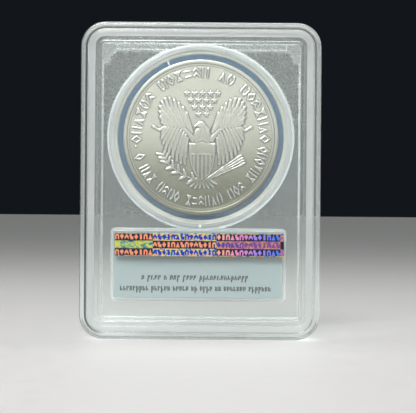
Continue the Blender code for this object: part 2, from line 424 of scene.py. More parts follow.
def gasket_material(name, dull, bright, clarity):
    """Soft elastomer, more or less milky, with streaks around the ring."""
    n, where = new_material(name)
    x, up = n.from_coin(where)
    around = n.times(n.math("ARCTAN2", up, x), 2.2)
    streaks = n.noise(n.vector(n.times(n.length(x, up), 3600.0), around), 1.0, 2.0)
    cloud = n.spread(streaks, 0.0, 1.0)
    n.surface(IOR=1.42, Transmission_Weight=clarity)
    n.surface(Base_Color=n.mix(cloud, dull, bright), Roughness=n.spread(cloud, 0.07, 0.16))
    n.surface(Normal=n.bump(n.noise(where, 700.0, 2.0), 0.00002, 0.2, n.bump(streaks, 0.00003, 0.35)))
    n.let_lamps_through((0.85, 0.88, 0.92))
    return n.owner


def silver_material():
    """Struck silver: satin field with fine flow lines, painted highlights whitening the high points, and
    painted shade darkening the hollows and the lower end.
    """
    n, where = new_material("struck_silver")
    x, up = n.from_coin(where)
    ridge = n.add("ShaderNodeAttribute", attribute_name="ridge").outputs["Fac"]
    crease = n.add("ShaderNodeAttribute", attribute_name="crease").outputs["Fac"]
    patches = n.times(n.noise(where, 70.0, 3.0, 0.55), 0.5)
    # Painted shade: the base darkens towards the coin's lower end; the noise patches add uneven toning.
    slant = n.math("SUBTRACT", up, n.times(x, 0.05))
    lower_end = n.remap(slant, -16.2 * MM, 5.8 * MM, 1.0, 0.0, smooth=True)
    toning_and_painted_shade = n.remap(n.math("ADD", lower_end, patches), 0.2, 1.3, 0.0, 1.0)
    base = n.mix(toning_and_painted_shade, (0.70, 0.675, 0.585), (0.155, 0.145, 0.07))
    # Painted shade: hollows (the crease attribute) are darkened almost to black.
    base = n.mix(n.times(crease, 0.85), base, (0.07, 0.07, 0.055))
    # Painted highlight: raised points (the ridge attribute) are whitened.
    base = n.mix(n.times(ridge, 0.62), base, (0.9, 0.9, 0.87))
    grain = n.noise(where, 2600.0, 2.0)
    frost = n.math("ADD", n.remap(ridge, 0.0, 1.0, 0.42, 0.40), n.spread(grain, -0.03, 0.05))
    n.surface(Base_Color=base, Metallic=1.0, Roughness=frost)
    around = n.times(n.math("ARCTAN2", up, x), 60.0)
    flow = n.noise(n.vector(around, n.times(x, 30.0), n.times(up, 30.0)), 1.0, 3.0)
    n.surface(Normal=n.bump(grain, 0.000012, 0.5, n.bump(flow, 0.00002, 0.25)))
    return n.owner


def paper_material():
    n, where = new_material("label_stock")
    fibres = n.noise(n.stretched(where, (900, 900, 2400)), 1.0, 4.0, 0.6)
    base = n.mix(n.noise(where, 130.0, 2.0), (0.36, 0.45, 0.465), (0.42, 0.50, 0.51))
    n.surface(Base_Color=base, Roughness=n.spread(fibres, 0.55, 0.75))
    n.surface(Normal=n.bump(fibres, 0.00002, 0.35))
    return n.owner


def ink_material():
    n, where = new_material("dark_ink")
    spots = n.noise(where, 3000.0, 2.0)
    n.surface(Base_Color=n.mix(spots, (0.008, 0.012, 0.014), (0.02, 0.026, 0.03)))
    n.surface(Roughness=n.spread(spots, 0.45, 0.7))
    return n.owner


# ---------------------------------------------------------------- shells

def shell_profile(side):
    """Border of a shell, from its pocket round the seam to its window, as (inset, depth, radius)."""
    def at(inset, depth, radius):
        return inset * MM, depth, radius * MM

    pocket = [(POCKET_INSET + 0.5 * MM, WINDOW_INNER, 0), (POCKET_INSET, WINDOW_INNER, 0.3 * MM)]
    pocket += [at(5.3, SEAM, 0.1)]
    if side < 0:  # groove of the weld, then ledge, stacking ridge and step
        seam = [at(3.2, SEAM, 0.05), at(3.2, 1.15 * MM, 0.15)]
        seam += [at(1.9, 1.15 * MM, 0.15), at(1.9, SEAM, 0.05)]
        outside = [at(0, LEDGE, 0.7), at(1.9, LEDGE, 0.2), at(2.15, OUTSIDE, 0.3)]
        outside += [at(3.45, OUTSIDE, 0.3), at(3.8, STEP, 0.12), at(4.75, STEP, 0.25)]
    else:  # tongue of the weld, then stacking rim and recess
        seam = [at(3.15, SEAM, 0.05), at(3.1, -1.05 * MM, 0.2)]
        seam += [at(2.0, -1.05 * MM, 0.2), at(1.95, SEAM, 0.05)]
        outside = [at(0, OUTSIDE, 0.6), at(1.65, OUTSIDE, 0.3)]
        outside += [at(1.95, LEDGE, 0.12), at(4.7, LEDGE, 0.15)]
    rim = [(FUSED_START, SEAM, 0), at(0, SEAM, 0.14)]
    window = [at(5.1, WINDOW_OUTER, 0.15), (POCKET_INSET, WINDOW_OUTER, 0)]
    return fillet(pocket + seam + rim + outside + window)


def frame_ring(name, width, height, root, top, edge):
    """A rectangular rib around the label with rounded upper edges."""
    direction = 1 if top > root else -1
    rise = [(math.cos(math.radians(a)), math.sin(math.radians(a))) for a in (0, 30, 60, 90)]
    profile = [(0, root)]
    profile += [(edge * (1 - c), top - direction * edge * (1 - s)) for c, s in rise]
    profile += [(FRAME_WALL - edge * (1 - c), top - direction * edge * (1 - s)) for c, s in rise[::-1]]
    profile += [(FRAME_WALL, root)]
    sections = []
    for inset, y in profile:
        radius = max(FRAME_CORNER - inset, 0.4 * MM)
        centre = (CARD_MIDDLE.x, CARD_MIDDLE.z)
        outline = rounded_outline(width - 2 * inset, height - 2 * inset, radius, centre, steps=6)
        sections.append((outline, y))
    return loft(name, sections, ring=True)


def gusset_points(hand):
    """The stepped block in an upper corner of the pocket, counter-clockwise as (x, z)."""
    corner_x = hand * (WIDTH / 2 - POCKET_INSET + SIDE_ROOT)
    corner_z = HEIGHT - POCKET_INSET + SIDE_ROOT
    steps = ((0, 0), (1, 0), (0.98, 0.37), (0.77, 0.43), (0.71, 0.54), (0.53, 0.61),
             (0.47, 0.94), (0.1, 1), (0, 1))
    points = [(corner_x - hand * u * GUSSET_WIDTH, corner_z - v * GUSSET_LENGTH) for u, v in steps]
    return points if hand > 0 else points[::-1]


def add_inside(shell, side):
    """Bar, gussets, round well and its wall, and small mould marks inside a shell."""
    floor, root = side * WINDOW_INNER, side * RIB_ROOT
    half_bar = WIDTH / 2 - POCKET_INSET + SIDE_ROOT
    bar_top, bar_bottom = HEIGHT - POCKET_INSET + SIDE_ROOT, HEIGHT - BAR_END
    bar = [(half_bar, bar_bottom), (half_bar, bar_top), (-half_bar, bar_top), (-half_bar, bar_bottom)]
    ribs = [("bar", bar, BAR_HEIGHT, 0.3 * MM)]
    ribs += [("gusset", gusset_points(hand), GUSSET_HEIGHT, 0.25 * MM) for hand in (-1, 1)]
    for name, outline, height, edge in ribs:
        rib = block(name, lambda inset: inset_polygon(outline, inset), root, floor - side * height, edge)
        combine(shell, rib, "UNION")
    well_floor = floor + side * 0.04 * MM
    cut = turned_disc("well", [(WELL_RADIUS, well_floor), (WELL_RADIUS, -side * OUTSIDE)], 160)
    combine(shell, cut, "DIFFERENCE")
    inner, outer = WELL_RADIUS - 0.06 * MM, WELL_RADIUS + WELL_WALL
    top = side * SEAM
    wall = [(inner - 0.16 * MM, root, 0), (inner - 0.16 * MM, well_floor, 0.02 * MM)]
    wall += [(inner, well_floor - side * 0.2 * MM, 0.2 * MM), (inner, top, 0.16 * MM)]
    wall += [(outer, top, 0.16 * MM), (outer, floor - side * 0.2 * MM, 0.2 * MM)]
    wall += [(outer + 0.2 * MM, floor + side * 0.02 * MM, 0.02 * MM), (outer + 0.2 * MM, root, 0)]
    combine(shell, turned_ring("well_wall", fillet(wall), 192), "UNION")
    dimple = [(1.15 * MM, floor - side * 0.2 * MM), (1.0 * MM, floor + side * 0.06 * MM)]
    for x in (-PIN_X, PIN_X):
        pin = turned_disc("pin_mark", dimple, 40, centre_x=x, centre_z=HEIGHT / 2)
        combine(shell, pin, "DIFFERENCE")


def inset_of(x, z):
    """How far a point lies inside the slab's rounded outline."""
    beyond_x = abs(x) - (WIDTH / 2 - CORNER_RADIUS)
    beyond_z = abs(z - HEIGHT / 2) - (HEIGHT / 2 - CORNER_RADIUS)
    outside = math.hypot(max(beyond_x, 0), max(beyond_z, 0)) + min(max(beyond_x, beyond_z), 0)
    return CORNER_RADIUS - outside


def assign_plastics(shell):
    """Gives each face of a shell its plastic."""
    for face in shell.data.polygons:
        x, y, z = face.center
        inset = inset_of(x, z)
        inside = abs(y) < WINDOW_INNER - 0.03 * MM
        if 1.86 * MM < inset < 3.3 * MM and -1.3 * MM < y < 0.1 * MM:
            face.material_index = WELD
        elif FUSED_START < inset < 2.0 * MM and abs(y) < 0.1 * MM:
            face.material_index = FUSED_JOINT
        elif inside and inset > 5.25 * MM:
            flat = abs(face.normal.y) > 0.9 and abs(y) > 0.3 * MM
            face.material_index = BLOCKS if flat and z > HEIGHT / 2 else RIB_WALLS
        elif inset < FUSED_START:
            face.material_index = SCUFFED_EDGE
        elif inset < POCKET_INSET:
            face.material_index = BORDER


def make_shell(name, side, plastics):
    sections = [(slab_outline(inset), side * depth) for inset, depth in shell_profile(side)]
    shell = loft(name, sections, *plastics)
    if side < 0:
        ring = frame_ring("label_frame", FRAME_WIDTH, FRAME_HEIGHT, -RIB_ROOT, -0.3 * MM, 0.22 * MM)
    else:
        smaller = 2 * (FRAME_WALL + CLEARANCE)
        width, height = FRAME_WIDTH - smaller, FRAME_HEIGHT - smaller
        top = CARD_MIDDLE.y + CARD_SIZE.y / 2 + 0.02 * MM
        ring = frame_ring("label_clamp", width, height, RIB_ROOT, top, 0.2 * MM)
    combine(shell, ring, "UNION")
    add_inside(shell, side)
    if side > 0:
        gate = [(0.75 * MM, LEDGE - 0.3 * MM), (0.7 * MM, LEDGE + 0.1 * MM)]
        gate += [(0.5 * MM, LEDGE + 0.25 * MM)]
        combine(shell, turned_disc("gate", gate, 32, centre_z=HEIGHT - 2.7 * MM), "UNION")
    assign_plastics(shell)
    shade(shell)
    place(shell, "clear_plastic", name.replace("_visual", ""))


# ---------------------------------------------------------------- gasket

def make_gasket(body_material, web_material, lip_material, flash_material):
    """Ring with a thin inner web that grips the coin and a rounded body that fills the well."""
    outer = GASKET_SIZE.x / 2 + 0.22 * MM
    body, web = GASKET_SIZE.y / 2, 0.5 * MM
    grip = COIN_RADIUS + 0.03 * MM
    half = [
        (grip, web, 0.15 * MM), (WEB_END, web, 0.12 * MM), (WEB_END + 0.15 * MM, 1.05 * MM, 0.2 * MM),
        (22.35 * MM, 1.2 * MM, 0.15 * MM), (22.6 * MM, body, 0.25 * MM),
        (23.5 * MM, body, 0.35 * MM), (outer, 1.1 * MM, 0.2 * MM),
    ]
    closed = [(r, -y, radius) for r, y, radius in half] + [(r, y, radius) for r, y, radius in half[::-1]]
    padded = [(grip, 0, 0)] + closed + [(grip, 0, 0)]
    ring = turned_ring("gasket_ring", fillet(padded)[1:], 224, body_material, web_material, lip_material)
    for face in ring.data.polygons:
        radius = math.hypot(face.center.x, face.center.z - COIN_Z)
        if radius < LIP_END:
            face.material_index = 1 if radius < WEB_END else 2
    shade(ring, 50)
    place(ring, "gasket", "coin_gasket")
    angle = math.radians(114)
    across = Vector((-math.sin(angle), math.cos(angle)))
    out = Vector((math.cos(angle), math.sin(angle)))
    ends = ((WEB_END, -1), (WEB_END, 1), (grip + 0.1 * MM, 1), (grip + 0.1 * MM, -1))
    corners = [out * r + across * side * 0.16 * MM for r, side in ends]
    outline = [(corner.x, COIN_Z + corner.y) for corner in corners]
    tick = block("gasket_split", lambda inset: inset_polygon(outline, inset), -0.4 * MM, -0.9 * MM,
                 0.06 * MM, flash_material)
    place(tick, "gasket")
    nib_profile = [(0.42 * MM, 0.1 * MM - body), (0.36 * MM, -0.12 * MM - body)]
    nib_profile += [(0.2 * MM, -0.2 * MM - body)]
    nib = turned_disc("gasket_nib", nib_profile, 24, flash_material, centre_z=COIN_Z - 23.2 * MM)
    shade(nib, 60)
    place(nib, "gasket")


# ---------------------------------------------------------------- coin relief, in millimetres

HIGHEST_RELIEF = 0.26  # over the field, level with the rim
DESIGN_SHIFT = 0.4  # the design's centre line, right of the coin's centre
LEGEND_RADIUS = 16.75
FULL_CREASE = 0.036  # this far from its surroundings, a point is all crease or all ridge
GRID_RADIUS = 14.7  # a square grid fills a face this far out, and rings of points the rest
RIM_INNER = 18.5
RIM_TOP = COIN_SIZE.y / 2 / MM
FIELD = RIM_TOP - HIGHEST_RELIEF
REED_DEPTH = 0.12
REEDED_HALF = RIM_TOP - 0.32
RIM_PROFILE = (  # radius, depth, polish with painted highlight, and painted shade
    (18.62, FIELD - 0.01, 0.0, 0.75), (18.74, FIELD + 0.05, 0.2, 0.0), (19.06, FIELD + 0.07, 0.1, 0.0),
    (19.18, FIELD + 0.06, 0.0, 0.95), (19.3, FIELD + 0.15, 0.0, 0.4), (19.4, RIM_TOP - 0.02, 0.3, 0.0),
    (19.52, RIM_TOP, 0.15, 0.0), (19.88, RIM_TOP, 0.15, 0.0), (20.05, RIM_TOP - 0.03, 0.15, 0.0),
    (20.18, RIM_TOP - 0.12, 0.0, 0.1), (20.22, RIM_TOP - 0.2, 0.0, 0.2),
)


def smooth(value, edge):
    """0 outside a shape and 1 inside, rising over a slope as wide as edge. value is depth inside."""
    t = np.clip(value / edge, 0, 1)
    return t * t * (3 - 2 * t)


def along(u, v, start, end):
    """Distance to a segment and how far along it, from 0 to 1."""
    du, dv = end[0] - start[0], end[1] - start[1]
    t = np.clip(((u - start[0]) * du + (v - start[1]) * dv) / (du * du + dv * dv), 0, 1)
    return np.hypot(u - start[0] - t * du, v - start[1] - t * dv), t


def bent(u, v, points):
    """Distance to a line through points and how far along it, from 0 to 1."""
    count = len(points) - 1
    distance, t = along(u, v, points[0], points[1])
    t = t / count
    for k in range(1, count):
        further, there = along(u, v, points[k], points[k + 1])
        t = np.where(further < distance, (k + there) / count, t)
        distance = np.minimum(distance, further)
    return distance, t


def feather(u, v, root, tip, width, height, lift, bow=0.0):
    """A leaf-shaped feather with a raised shaft, standing on lift and bowed sideways."""
    du, dv = tip[0] - root[0], tip[1] - root[1]
    middle = (root[0] + du / 2 - dv * bow, root[1] + dv / 2 + du * bow)
    distance, t = bent(u, v, (root, middle, tip))
    half = width * (0.7 + 0.42 * np.sin(np.pi * np.clip(t * 0.9 + 0.08, 0, 1)))
    inside = half - distance
    shape = smooth(inside, 0.55 * width) * height
    shaft = smooth(0.13 - distance, 0.13) * height * 0.3
    return np.where(inside > 0, lift + shape + shaft, 0)


def star(u, v, centre, radius):
    x, y = u - centre[0], v - centre[1]
    angle = np.mod(np.arctan2(x, y) + math.pi / 5, 2 * math.pi / 5) - math.pi / 5
    edge = radius * (1 - 0.62 * np.abs(angle) / (math.pi / 5))
    return smooth(edge - np.hypot(x, y), 0.2) * 0.17


def glyph(kind, s, t, half_width, half_height):
    """One abstract mark of the legend, as depth inside its stroke. s runs along the ring, t outwards."""
    stroke = 0.26
    a, b = np.abs(s) / half_width, np.abs(t) / half_height
    fits = np.minimum(half_width - np.abs(s), half_height - np.abs(t))
    if kind == "arcs":
        ring = stroke - np.abs(np.hypot(a, b * 0.9) - 0.8) * half_width
        return np.minimum(ring, np.abs(s) - 0.22)
    if kind == "lozenge":
        return stroke - np.abs(a + b - 0.84) * half_width * 0.8
    if kind == "pair":
        return np.minimum(stroke - np.abs(np.abs(s) - half_width + stroke), fits)
    if kind == "bars":
        return np.minimum(stroke - np.abs(np.abs(t) - half_height * 0.52), fits)
    if kind == "bow":
        return np.minimum((b - a) * half_width * 0.7 + 0.12, fits)
    if kind == "brackets":
        frame_depth = stroke - np.abs(np.maximum(a, b) - 0.8) * half_width
        return np.minimum(np.where(b > 0.75, fits, frame_depth), np.abs(s) - 0.2)
    if kind == "chevrons":
        folded = t + np.abs(s) * 0.9
        upper, lower = (stroke - np.abs(folded - level) * 0.72 for level in (1.15, -0.15))
        return np.minimum(np.maximum(upper, lower), fits)
    edge = (1 - (t / half_height + 1) / 2 - a) * half_width * 0.85
    return np.minimum(np.minimum(edge, half_height - np.abs(t)), stroke * 2 - edge * 0.9)


def legend(u, v, start, step, words, outward, half_width):
    """Groups of marks around the coin. Angles are in degrees, from +u towards +v."""
    kinds = ("arcs", "pair", "chevrons", "lozenge", "bow", "brackets", "peak", "bars")
    order = (3, 1, 6, 4, 0, 2, 5, 3, 4, 7, 2, 1, 6, 0, 5, 3, 2, 4, 1, 6, 3, 0)
    radius, angle = np.hypot(u, v), np.degrees(np.arctan2(v, u))
    height = np.zeros_like(u)
    place_angle, index = start, 0
    for word in words:
        for _ in range(word):
            offset = np.mod(angle - place_angle + 180, 360) - 180
            near = np.abs(offset) < 9
            s = np.radians(offset[near]) * LEGEND_RADIUS * (-1 if outward > 0 else 1)
            t = (radius[near] - LEGEND_RADIUS) * outward
            inside = glyph(kinds[order[index % len(order)]], s, t, half_width, 1.4)
            height[near] = np.maximum(height[near], smooth(inside, 0.2) * 0.16)
            place_angle += step
            index += 1
        place_angle += step * 0.95
    return height


def leafy(u, v, points, leaves, length, width):
    """A stem with pairs of leaves."""
    shapes = [smooth(0.2 - bent(u, v, points)[0], 0.16) * 0.14]
    spans = len(points) - 1
    for k in range(leaves):
        t = (k + 0.8) / leaves * spans
        span = min(int(t), spans - 1)
        start, end = points[span], points[span + 1]
        part = t - span
        base = (start[0] + (end[0] - start[0]) * part, start[1] + (end[1] - start[1]) * part)
        direction = math.atan2(end[1] - start[1], end[0] - start[0])
        for side in (-1, 1):
            lean = direction + side * math.radians(48)
            tip = (base[0] + length * math.cos(lean), base[1] + length * math.sin(lean))
            shapes.append(feather(u, v, base, tip, width, 0.14, 0.02))
    return np.maximum.reduce(shapes)


def plumage(side, v, roots, tips, layers, bow):
    """Overlapping rows of feathers from roots to tips. layers holds each row's reach, width and lift."""
    shapes = []
    for reach, width, lift in layers:
        for k, (root, tip) in enumerate(zip(roots, tips)):
            end = (root[0] + (tip[0] - root[0]) * reach, root[1] + (tip[1] - root[1]) * reach)
            shapes.append(feather(side, v, root, end, width, 0.15, lift + 0.02 * (k % 2), bow))
    return np.maximum.reduce(shapes)


def wings(side, v):
    """The bird's raised wings, with the bow of small feathers along their upper arms."""
    lower_tips = ((10.4, 1.0), (10.5, -0.4), (10.1, -1.8), (9.5, -3.1), (8.7, -4.3), (7.7, -5.3),
                  (6.6, -6.1), (5.5, -6.7), (4.5, -7.0))
    lower_roots = ((9.4, 2.5), (8.6, 2.5), (7.8, 2.5), (7.0, 2.4), (6.2, 2.2), (5.5, 1.8),
                   (4.8, 1.2), (4.3, 0.5), (3.9, -0.4))
    lower_rows = ((1.0, 0.62, 0.01), (0.74, 0.56, 0.05), (0.5, 0.5, 0.09), (0.27, 0.45, 0.12))
    upper_tips = ((4.2, 6.2), (5.1, 7.6), (6.2, 8.7), (7.4, 9.5), (8.6, 10.0), (9.7, 9.8),
                  (10.5, 9.0), (10.9, 7.8), (11.0, 6.5), (10.9, 5.2), (10.5, 4.1))
    upper_roots = [(2.7, 1.3), (3.3, 1.9), (3.9, 2.4)]
    upper_roots += [(4.6 + 0.55 * k, 2.6 + 0.03 * k) for k in range(8)]
    upper_rows = ((1.0, 0.66, 0.01), (0.66, 0.56, 0.05), (0.4, 0.48, 0.09))
    arm, t = bent(side, v, ((10.6, 3.7), (8.9, 2.9), (6.6, 2.8), (5.2, 2.4), (3.9, 1.3), (2.4, -0.6)))
    scales = 0.02 * np.cos(side * 7.0) * np.cos(v * 7.0 + side * 2.0)
    return np.maximum.reduce([
        plumage(side, v, lower_roots, lower_tips, lower_rows, 0.1),
        plumage(side, v, upper_roots, upper_tips, upper_rows, -0.08),
        smooth(0.42 + 0.4 * t - arm, 0.45) * (0.24 + scales),
    ])


def reverse_relief(u, v):
    """Back design: a plain heraldic bird with raised wings, shield, ribbon, branch and shafts."""
    x = u - DESIGN_SHIFT
    side = np.abs(x)
    shapes = [wings(side, v)]
    for row, count in enumerate((5, 4, 3, 2)):
        for k in range(count):
            shapes.append(star(x, v, ((k - (count - 1) / 2) * 2.03, 11.4 - row * 1.8), 0.92))
    for tip in ((0.6, -13.2), (1.8, -13.3), (2.9, -12.9), (3.8, -12.2)):
        shapes.append(feather(side, v, (0.3, -10.4), tip, 0.5, 0.12, 0.01))
    wave = 2.2 + 0.4 * np.sin(side * 2.1)
    ribbon = np.minimum(0.42 - np.abs(v - wave), np.minimum(side - 8.9, 13.1 - side))
    shapes.append(smooth(ribbon, 0.2) * 0.17)
    body = 1 - np.hypot(x / 2.6, (v + 0.2) / 3.3)
    shapes.append(smooth(np.where(v > -1.8, body, 0), 0.3) * 0.2)
    neck, t = bent(x, v, ((0.6, -0.6), (0.7, 1.6), (-0.1, 3.1)))
    ruff = 0.02 * np.cos(x * 8.0 + v * 2.5) * (neck < 1.3)
    shapes.append(smooth(1.75 - 0.7 * t - neck, 0.6) * (0.25 + ruff))
    head = np.hypot((x + 0.35) / 1.25, v - 3.2)
    shapes.append(smooth(1.05 - head, 0.5) * 0.3)
    beak, t = bent(x, v, ((-1.2, 3.2), (-2.0, 2.8), (-2.2, 2.1)))
    shapes.append(smooth(0.46 - 0.3 * t - beak, 0.25) * 0.24)
    bird = np.maximum.reduce(shapes)
    eye = np.hypot(x + 0.75, v - 3.45)
    bird = np.where(eye < 0.24, bird - 0.06, bird)
    depth = np.clip((-1.4 - v) / 9.7, 0, 1)
    half = 3.6 * np.sqrt(np.clip(1 - depth ** 2.4, 0, 1))
    inside = np.minimum(half - side, -1.5 - v + 0.7 * np.exp(-(x / 1.1) ** 2))
    pales = np.where(v < -4.5, 0.07 * (np.cos(x * 2 * math.pi / 1.07) > 0), 0.03)
    bar = smooth(0.2 - np.abs(v + 4.5), 0.15) * 0.06
    shield = smooth(inside, 0.3) * 0.15 + smooth(inside - 0.3, 0.2) * (pales + bar)
    shapes = [np.where(inside > 0.1, shield, bird)]
    shapes.append(leafy(x, v, ((-0.3, -11.8), (-5.4, -9.7), (-8.9, -7.0), (-10.2, -4.6)), 7, 1.75, 0.42))
    for k in range(4):
        shift = (k - 1.5) * 0.62
        start, end = (0.2 + shift * 0.3, -11.6 + shift * 0.3), (9.4 - shift * 0.5, -6.4 + shift)
        shapes.append(smooth(0.18 - along(x, v, start, end)[0], 0.14) * 0.15)
        shapes.append(feather(x, v, end, (end[0] + 1.3, end[1] + 0.72), 0.36, 0.14, 0.02))
    shapes.append(legend(u, v, 182.5, -8.05, (6, 6, 2, 7), 1, 0.95))
    shapes.append(legend(u, v, 198.5, 5.62, (1, 3, 4, 6, 3, 6), -1, 0.7))
    for centre in ((-16.95, -2.6), (17.25, -3.2)):
        shapes.append(smooth(0.42 - np.hypot(u - centre[0], v - centre[1]), 0.3) * 0.14)
    return HIGHEST_RELIEF * np.tanh(np.maximum.reduce(shapes) / HIGHEST_RELIEF)


def obverse_relief(u, v):
    """Front design: a plain sunrise over hills inside a wreath."""
    from_middle = np.hypot(u, v)
    radius, angle = np.hypot(u, v + 3.5), np.arctan2(v + 3.5, u)
    rays = smooth(0.5 + 0.5 * np.cos(angle * 26) - 0.35, 0.4) * 0.09
    sky = (v > -3.5) & (radius > 4.6) & (from_middle < 12.2)
    height = np.where(sky, rays * smooth(12.2 - from_middle, 1.5), 0)
    sun = np.where(v > -3.5, 4.3 - radius, 0)
    height = np.maximum(height, smooth(sun, 1.6) * 0.18)
    for k, (level, swell, phase) in enumerate(((-3.6, 0.9, 0.3), (-5.6, 1.1, 1.9), (-8.0, 1.2, 4.0))):
        crest = level + swell * np.sin(u * 0.33 + phase)
        inside = np.minimum(crest - v, 12.4 - from_middle)
        height = np.where(inside > 0, 0.06 + 0.03 * k + smooth(inside, 0.6) * 0.04, height)
    shapes = [height]
    for k in range(36):
        at = math.radians(k * 10)
        base = (13.2 * math.cos(at), 13.2 * math.sin(at))
        for lean, reach in ((14, 15.1), (-3, 13.9)):
            turn = math.radians(k * 10 + lean)
            tip = (reach * math.cos(turn), reach * math.sin(turn))
            shapes.append(feather(u, v, base, tip, 0.42, 0.1, 0.02))
    shapes.append(legend(u, v, 182.5, -9.0, (5, 7, 6), 1, 0.92))
    shapes.append(legend(u, v, 205.0, 7.6, (4, 6, 5), -1, 0.8))
    return np.maximum.reduce(shapes)


def disc_grid(count):
    """Points of a square grid bent into the unit disc, whose edge points are evenly spaced."""
    line = np.linspace(-1, 1, count + 1)
    a, b = np.meshgrid(line, line, indexing="ij")
    wide = np.abs(a) >= np.abs(b)
    radius = np.where(wide, a, b)
    with np.errstate(divide="ignore", invalid="ignore"):
        angle = np.where(wide, math.pi / 4 * b / a, math.pi / 2 - math.pi / 4 * a / b)
    angle = np.where(radius == 0, 0, angle)
    return radius * np.cos(angle), radius * np.sin(angle)


def grid_edge(count):
    """Index pairs around a square grid's edge, counter-clockwise from the middle of +a."""
    half = count // 2
    edge = [(count, j) for j in range(half, count)]
    edge += [(i, count) for i in range(count, 0, -1)]
    edge += [(0, j) for j in range(count, 0, -1)]
    edge += [(i, 0) for i in range(0, count)]
    edge += [(count, j) for j in range(0, half)]
    return edge


def ring_quads(loop, following):
    """Quads between two loops of point numbers."""
    return np.stack([loop, following, np.roll(following, -1), np.roll(loop, -1)], -1)


def coin_face(count, rings, relief):
    """Points (u, v, height) and quads of a face out to the rim's inner edge, and its edge loop."""
    u, v = disc_grid(count)
    u, v = u * GRID_RADIUS, v * GRID_RADIUS
    index = np.arange(u.size).reshape(u.shape)
    quads = np.stack([index[:-1, :-1], index[1:, :-1], index[1:, 1:], index[:-1, 1:]], -1).reshape(-1, 4)
    loop = np.array([index[i, j] for i, j in grid_edge(count)])
    around = len(loop)
    angles = np.arange(around) * 2 * math.pi / around
    all_u, all_v, all_quads = [u.ravel()], [v.ravel()], [quads]
    base = u.size
    for radius in np.linspace(GRID_RADIUS, RIM_INNER, rings + 1)[1:]:
        all_u.append(radius * np.cos(angles))
        all_v.append(radius * np.sin(angles))
        fresh = base + np.arange(around)
        all_quads.append(ring_quads(loop, fresh))
        loop, base = fresh, base + around
    u, v = np.concatenate(all_u), np.concatenate(all_v)
    return u, v, relief(u, v), np.concatenate(all_quads), loop


def crease_and_ridge(height, quads):
    """How far each point lies below and above its surroundings, each from 0 to 1."""
    corners = ((0, 1), (1, 2), (2, 3), (3, 0), (0, 2), (1, 3))
    first = np.concatenate([quads[:, a] for a, b in corners] + [quads[:, b] for a, b in corners])
    second = np.concatenate([quads[:, b] for a, b in corners] + [quads[:, a] for a, b in corners])
    weight = np.maximum(np.bincount(first, minlength=len(height)), 1)
    around = height
    for _ in range(4):
        around = np.bincount(first, weights=around[second], minlength=len(height)) / weight
    below = around - height
    return np.clip(below / FULL_CREASE, 0, 1), np.clip(-below / FULL_CREASE, 0, 1)


def make_coin(material):
    """Coin with both reliefs, raised rims and a reeded edge, as one closed mesh."""
    points, faces, ridges, creases = [], [], [], []

    def add_points(u, v, y, ridge, crease):
        start = len(points)
        points.extend(np.stack([u * MM, np.broadcast_to(y, u.shape) * MM, v * MM + COIN_Z], -1).tolist())
        ridges.extend(np.broadcast_to(ridge, u.shape).tolist())
        creases.extend(np.broadcast_to(crease, u.shape).tolist())
        return start

    def add_ring(loop, radius, angles, y, ridge, crease):
        fresh = add_points(radius * np.cos(angles), radius * np.sin(angles), y, ridge, crease)
        fresh = fresh + np.arange(len(loop))
        faces.extend(ring_quads(loop, fresh).tolist())
        return fresh

    loops = []
    for side, count, rings, relief in ((-1, 200, 32, reverse_relief), (1, 100, 16, obverse_relief)):
        u, v, height, quads, loop = coin_face(count, rings, relief)
        crease, ridge = crease_and_ridge(height, quads)
        start = add_points(u, -side * v, side * (FIELD + height), ridge, crease)
        faces.extend((quads + start).tolist())
        loop = loop + start
        around = len(loop)
        angles = np.arange(around) * 2 * math.pi / around * -side
        # The third column sets the ridge attribute (painted highlight, with a little polish), the fourth
        # the crease attribute (painted shade).
        for radius, depth, polish_and_painted_highlight, rim_painted_shade in RIM_PROFILE:
            loop = add_ring(loop, radius, angles, side * depth, polish_and_painted_highlight, rim_painted_shade)
        loops.append(loop)
    around = len(loops[0])
    angles = np.arange(around) * 2 * math.pi / around
    reeds = np.where(np.arange(around) % 4 < 2, COIN_RADIUS / MM, COIN_RADIUS / MM - REED_DEPTH)
    for depth in (-REEDED_HALF, REEDED_HALF):
        # The reeded edge gets ridge 0.3: painted highlight on it.
        loops[0] = add_ring(loops[0], reeds, angles, depth, 0.3, 0.0)
    fine_loop, coarse_loop = loops[0], np.roll(loops[1][::-1], 1)
    ratio = len(fine_loop) // len(coarse_loop)
    for i, corner in enumerate(coarse_loop):
        following = coarse_loop[(i + 1) % len(coarse_loop)]
        chain = [fine_loop[(i * ratio + k) % around] for k in range(ratio + 1)]
        middle = ratio // 2
        for k in range(ratio):
            faces.append((chain[k], corner if k < middle else following, chain[k + 1]))
        faces.append((corner, following, chain[middle]))
    mesh = bpy.data.meshes.new("coin_struck")
    mesh.from_pydata(points, [], [tuple(int(i) for i in face) for face in faces])
    for name, values in (("ridge", ridges), ("crease", creases)):
        mesh.attributes.new(name, "FLOAT", "POINT").data.foreach_set("value", values)
    bm = bmesh.new()
    bm.from_mesh(mesh)
    bpy.data.meshes.remove(mesh)
    coin = new_object("coin_struck", bm, material)
    coin.data.shade_smooth()
    place(coin, "coin_silver", "coin")


# ---------------------------------------------------------------- label card and its print

WORD_SPACE = 0.7  # in letters
PRINT_GAP, PRINT_HEIGHT = 0.003 * MM, 0.012 * MM


def card_outline(inset):
    return rounded_outline(
        CARD_SIZE.x + CLEARANCE - 2 * inset, CARD_SIZE.z + CLEARANCE - 2 * inset,
        SHARPEST_CORNER, (CARD_MIDDLE.x, CARD_MIDDLE.z), steps=4,
    )


def make_card(material):
    back, front = CARD_MIDDLE.y - CARD_SIZE.y / 2, CARD_MIDDLE.y + CARD_SIZE.y / 2
    edge = 0.05 * MM
    sections = [(card_outline(edge), back), (card_outline(0), back + edge)]
    sections += [(card_outline(0), front - edge), (card_outline(edge), front)]
    card = loft("label_insert", sections, material)
    shade(card)
    place(card, "label_paper", "label_card")


